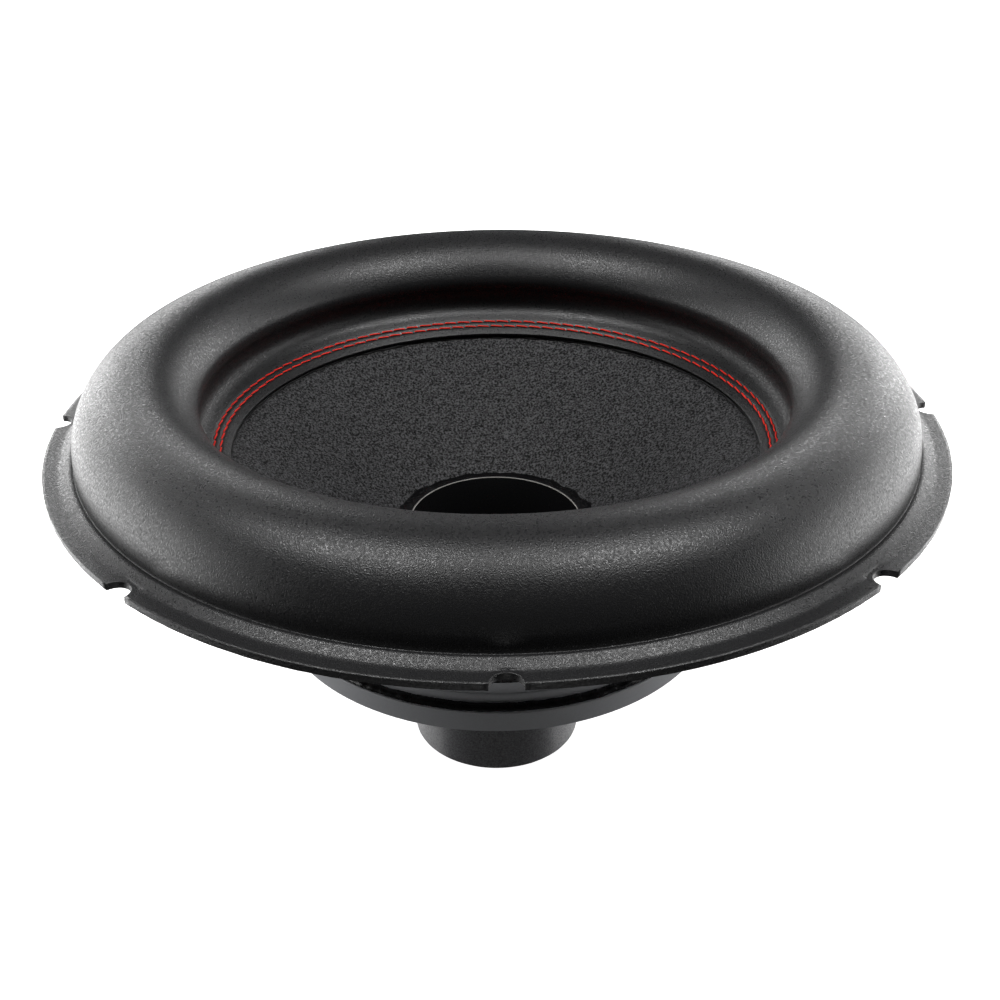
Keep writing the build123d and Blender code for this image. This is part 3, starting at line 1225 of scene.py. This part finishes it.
@dataclass
class GlueRing:
    """A fillet of glue in a corner, with uneven edges.

    Attributes:
        name: Name of the piece.
        node: CAD node that it stands for.
        corner: The corner that it fills, as (radius, height).
        out: Its outer edge, away from the corner.
        up: Its other edge.
        hollow: How far its surface dips below the straight line between its edges.
        uneven: How far its edges wander, in millimetres.
        seed: Seed of the wandering.
        finish: Its finish.
        body: Body that it rides on.
    """

    name: str
    node: str
    corner: tuple[float, float]
    out: tuple[float, float]
    up: tuple[float, float]
    hollow: float
    uneven: float
    seed: int
    finish: Finish = GLOSS_GLUE
    body: str = MOVING

    def build(self) -> bpy.types.Object:
        """Make the ring.

        Its free surface is a parabola between the two edges, hollow towards the corner, and
        each edge slides along its own wall by a sum of harmonics.

        Returns:
            The object.
        """
        corner, out, up = (np.array(p, dtype=float) for p in (self.corner, self.out, self.up))
        t = np.linspace(0, 1, 15)[:, None]
        inward = corner - (out + up) / 2
        inward /= np.linalg.norm(inward)
        angles = turns(360)
        slide_out = self.uneven * wobble(angles, self.seed, 3, 24) / np.linalg.norm(out - corner)
        slide_up = self.uneven / 2 * wobble(angles, self.seed + 1, 4, 46) / np.linalg.norm(up - corner)
        edge_out = corner + (out - corner) * (1 + slide_out)[:, None]
        edge_up = corner + (up - corner) * (1 + slide_up)[:, None]
        dip = inward * (4 * t * (1 - t) * self.hollow)[:, None]
        free = edge_out * (1 - t[:, None]) + edge_up * t[:, None] + dip
        walls = [(edge_up + corner) / 2, corner + 0 * edge_up, (corner + edge_out) / 2]
        section = np.concatenate([free, np.stack(walls)])
        if np.cross(out - corner, up - corner) < 0:
            section = section[::-1]
        r, z = section[..., 0], section[..., 1]
        points = np.stack([r * np.cos(angles), r * np.sin(angles), z], axis=-1)
        piece = ring_object(self.name, points, angles, np.arange(len(section) + 1.0))
        return place(piece, self.finish, self.node, body=self.body)


@dataclass
class Suspension:
    """Two corrugated spiders, the plastic rings at their rims, and their glue.

    Attributes:
        still_r: Not used; meant as the radius outside which a spider stays with the mounting.
        moving_r: Not used; meant as the radius inside which it goes with the coil.
    """

    still_r: float = 90.0
    moving_r: float = 44.5

    def build(self) -> list[bpy.types.Object]:
        """Make the spiders, the clamp ring and the glue, and finish the CAD spacer.

        Returns:
            The new objects.
        """
        keep("spider_spacer_ring", MOULDED_PLASTIC)
        top = RING_BOTTOM + RING_HEIGHT
        inner = RING_TOP_R - RING_WIDTH
        clamp_r, clamp_low = RING_TOP_R - CLAMP_INSET, top + SPIDER_THICK
        clamp = tube_outline(inner, clamp_r, clamp_low, clamp_low + CLAMP_HEIGHT, 0.7, 4)
        film = tube_outline(inner, inner + 2.0, RING_BOTTOM + 0.7, RING_BOTTOM + 1.0, 0.1, 2)
        lower_r = RING_TOP_R - RING_DRAFT - RING_WALL - 0.2
        return [
            self.spider("upper_spider_cloth", "upper_spider", top, RING_TOP_R - 1.8),
            self.spider("lower_spider_cloth", "lower_spider", RING_BOTTOM, lower_r),
            place(turned("clamp_ring", clamp, 256), MOULDED_PLASTIC, "spider_clamp_ring", body=FIXED),
            place(turned("lower_rim_film", film, 128), GLOSS_GLUE, "lower_rim_adhesive", body=FIXED),
            self.rim_glue(clamp_r, clamp_low, top),
        ]

    def spider(self, name: str, node: str, z: float, rim_r: float) -> bpy.types.Object:
        """A corrugated cloth disc.

        Its middle line is a chain of equal arcs, up and down in turn, and both faces keep
        half the cloth's thickness from it.

        Args:
            name: Name of the piece.
            node: CAD node that it stands for.
            z: Height of its flat underside.
            rim_r: Its outer radius.

        Returns:
            The object, which rides on no body.
        """
        neck = LAYOUT.wrap_r + SEAT_GAP
        start = neck + SPIDER_LAND
        halves = 2 * SPIDER_WAVES
        width = (RING_TOP_R - RING_WIDTH - SPIDER_RIM_LAND - start) / halves
        rise = SPIDER_RISE * width
        middle_r = (width**2 / 4 + rise**2) / (2 * rise)
        tilt = math.degrees(2 * math.atan(2 * rise / width))
        middle = z + SPIDER_THICK / 2
        runs = [line((neck, middle), (start, middle), 5)[:-1]]
        for n in range(halves):
            up = 1 if n % 2 == 0 else -1
            centre = np.array([start + (n + 0.5) * width, middle + up * (rise - middle_r)])
            runs.append(arc(centre, middle_r, up * (90 + tilt), up * (90 - tilt), 11)[:-1])
        runs.append(line((start + halves * width, middle), (rim_r, middle), 6))
        path = np.vstack(runs)
        along = np.gradient(path, axis=0)
        along /= np.linalg.norm(along, axis=1, keepdims=True)
        half = np.stack([-along[:, 1], along[:, 0]], axis=-1) * SPIDER_THICK / 2
        outline = np.vstack([path - half, (path + half)[::-1]])
        piece = turned(name, outline, 240)
        place(piece, SPIDER_CLOTH, node, body=None)
        blend_by_radius(piece)
        return piece

    @staticmethod
    def rim_glue(clamp_r: float, clamp_low: float, deck: float) -> bpy.types.Object:
        """Black glue over the upper spider's edge, on the deck and up the clamp ring.

        Its free surface bulges, and its edge on the deck and its height on the clamp ring
        wander round the axis.

        Args:
            clamp_r: Outer radius of the clamp ring.
            clamp_low: Height of the clamp ring's underside.
            deck: Height of the spacer's deck.

        Returns:
            The object.
        """
        edge = RING_TOP_R - 0.7
        angles = turns(640)
        reach = edge - clamp_r - np.clip(0.3 + 0.1 * wobble(angles, 8, 12, 90), 0, 1.2)
        climb = clamp_low - deck + 1.5 + 0.12 * wobble(angles, 9, 12, 90)
        t = np.linspace(0, 90, 13)[:, None]
        swell = 1 + 0.02 * np.sin(np.radians(2 * t)) * wobble(angles, 10, 20, 160)
        r = clamp_r + reach * np.cos(np.radians(t)) ** 0.8 * swell
        z = deck + climb * np.sin(np.radians(t)) ** 0.8 * swell
        inner_r = np.array([clamp_r, RING_TOP_R - 1.8, RING_TOP_R - 1.8])[:, None] + 0 * angles
        inner_z = np.array([clamp_low, clamp_low, deck])[:, None] + 0 * angles
        r, z = np.vstack([r, inner_r]), np.vstack([z, inner_z])
        points = np.stack([r * np.cos(angles), r * np.sin(angles), z], axis=-1)
        piece = ring_object("rim_glue_bead", points, angles, np.arange(len(r) + 1.0))
        return place(piece, BEAD_GLUE, "upper_rim_adhesive", body=FIXED)


def glue_rings() -> list[bpy.types.Object]:
    """The four fillets of glue round the coil.

    Returns:
        The objects.
    """
    lay = LAYOUT
    wrap = lay.wrap_r
    pool_r = wrap + 7.1
    neck_low = lay.neck_top[1] - NECK_LENGTH
    upper = RING_BOTTOM + RING_HEIGHT + SPIDER_THICK + SEAT_GAP
    lower = RING_BOTTOM - SEAT_GAP
    rings = [
        GlueRing("neck_glue_pool", "cone_neck_adhesive", (wrap, float(lay.cone_surface(wrap))),
                 (pool_r, float(lay.cone_surface(pool_r))), (wrap, FORMER_LENGTH - 0.4), 1.1, 0.3, 61),
        GlueRing("under_neck_glue", "cone_underside_adhesive", (wrap, neck_low),
                 (wrap + 3.2, neck_low), (wrap, neck_low - 3.6), 0.4, 0.3, 63),
        GlueRing("upper_spider_glue", "upper_spider_adhesive", (wrap, upper),
                 (wrap + 4.0, upper), (wrap, upper + 3.5), 0.5, 0.35, 65),
        GlueRing("lower_spider_glue", "lower_spider_adhesive", (wrap, lower),
                 (wrap + 4.0, lower), (wrap, lower - 3.5), 0.5, 0.35, 67),
    ]
    return [ring.build() for ring in rings]


# ---------------------------------------------------------------------------
# Studio
# ---------------------------------------------------------------------------


@dataclass(frozen=True)
class Softbox:
    """A large soft light.

    Attributes:
        name: Name of the light.
        where: Its centre in metres.
        aim: The point that it faces.
        size: Width and height in metres.
        power: Power in watts.
    """

    name: str
    where: tuple[float, float, float]
    aim: tuple[float, float, float]
    size: tuple[float, float]
    power: float

    def build(self) -> None:
        """Add the light, hidden from the camera."""
        data = bpy.data.lights.new(self.name, "AREA")
        data.shape = "RECTANGLE"
        data.size, data.size_y = self.size
        data.energy = self.power
        light = bpy.data.objects.new(self.name, data)
        light.location = self.where
        way = Vector(self.aim) - Vector(self.where)
        light.rotation_euler = way.to_track_quat("-Z", "Y").to_euler()
        light.visible_camera = False
        bpy.context.scene.collection.objects.link(light)


@dataclass(frozen=True)
class Studio:
    """White sweep, soft lights and camera.

    Attributes:
        softboxes: The lights.
        room: Brightness of the dim room round them.
        camera_at: The camera's place in metres.
        camera_turn: Its rotation in degrees.
        lens: Focal length in millimetres.
        shift: Sideways lens shift.
        floor_r: Radius of the flat floor in millimetres.
        curve_r: Radius of the curve from the floor to the wall.
        wall_top: Height of the wall.
    """

    softboxes: tuple[Softbox, ...]
    room: float = 0.02
    camera_at: tuple[float, float, float] = (-0.00866, -0.50818, 0.41247)
    camera_turn: tuple[float, float, float] = (60.357, 0.7735, -0.4402)
    lens: float = 46.8
    shift: float = 0.0242
    floor_r: float = 3000.0
    curve_r: float = 1000.0
    wall_top: float = 5000.0

    def build(self) -> None:
        """Set up the floor, the lights, the room and the camera."""
        self.sweep()
        for softbox in self.softboxes:
            softbox.build()
        scene = bpy.context.scene
        scene.view_settings.view_transform = "Standard"
        world = bpy.data.worlds.new("dim_room")
        world.use_nodes = True
        background = world.node_tree.nodes["Background"]
        background.inputs["Color"].default_value = linear("#ffffff")
        background.inputs["Strength"].default_value = self.room
        scene.world = world
        data = bpy.data.cameras.new("camera")
        data.lens, data.shift_x, data.sensor_width = self.lens, self.shift, 36.0
        data.clip_start, data.clip_end = 0.01, 50.0
        camera = bpy.data.objects.new("camera", data)
        camera.location = self.camera_at
        camera.rotation_euler = [math.radians(angle) for angle in self.camera_turn]
        scene.collection.objects.link(camera)
        scene.camera = camera

    def sweep(self) -> None:
        """A white floor that curves up into a wall all round.

        It glows, so that it shows plain white, and the camera alone sees it: it sends no
        light, shadow or reflection to the speaker.
        """
        wall_r = self.floor_r + self.curve_r
        profile = np.vstack([
            line((0.01, 0), (self.floor_r, 0), 8),
            arc(np.array([self.floor_r, self.curve_r]), self.curve_r, -90, 0, 12),
            line((wall_r, self.curve_r + 200), (wall_r, self.wall_top), 4),
        ])
        angles = turns(96)
        points = swept(profile, angles)
        faces = quads(len(profile), 96)[: (len(profile) - 1) * 96]
        floor = make_object("white_sweep", points, faces)
        material = bpy.data.materials.new("white_paper_sweep")
        material.use_nodes = True
        tree = material.node_tree
        tree.nodes.clear()
        paper = add(tree, "BsdfDiffuse", Color=linear("#f4f4f4"))
        glow = add(tree, "Emission", Color=linear("#ffffff"), Strength=1.0)
        add(tree, "OutputMaterial", Surface=add(tree, "AddShader", paper, glow))
        floor.data.materials.append(material)
        floor.visible_shadow = False
        floor.visible_glossy = False
        floor.visible_diffuse = False


STUDIO = Studio(
    softboxes=(
        Softbox("left_top_softbox", (-0.9, -0.32, 2.45), (0.0, 0.0, 0.16), (0.65, 0.65), 38.0),
        Softbox("right_top_softbox", (0.9, -0.32, 2.45), (0.0, 0.0, 0.16), (0.65, 0.65), 40.0),
        Softbox("left_panel", (-1.22, 0.44, 0.06), (0.0, 0.0, 0.16), (2.0, 1.3), 34.0),
        Softbox("right_panel", (1.22, 0.44, 0.06), (0.0, 0.0, 0.16), (2.0, 1.3), 31.0),
        Softbox("left_back_panel", (-0.68, 1.3, 0.5), (0.0, 0.0, 0.16), (0.8, 0.6), 6.0),
        Softbox("right_back_panel", (0.68, 1.3, 0.5), (0.0, 0.0, 0.16), (0.8, 0.6), 6.0),
        Softbox("low_front_card", (0.0, -1.15, -0.8), (0.0, 0.0, 0.06), (1.0, 0.6), 1.5),
    ),
)


def main() -> None:
    """Build the whole scene."""
    logging.basicConfig(level=logging.INFO, format="%(name)s: %(message)s")
    pieces = [Surround().build(), *Cone().build(), *VoiceCoil().build()]
    pieces += [*glue_rings(), *Suspension().build()]
    STUDIO.build()
    for piece in pieces:
        log.info("%s: %d faces", piece.name, len(piece.data.polygons))


if __name__ == "__main__":
    main()
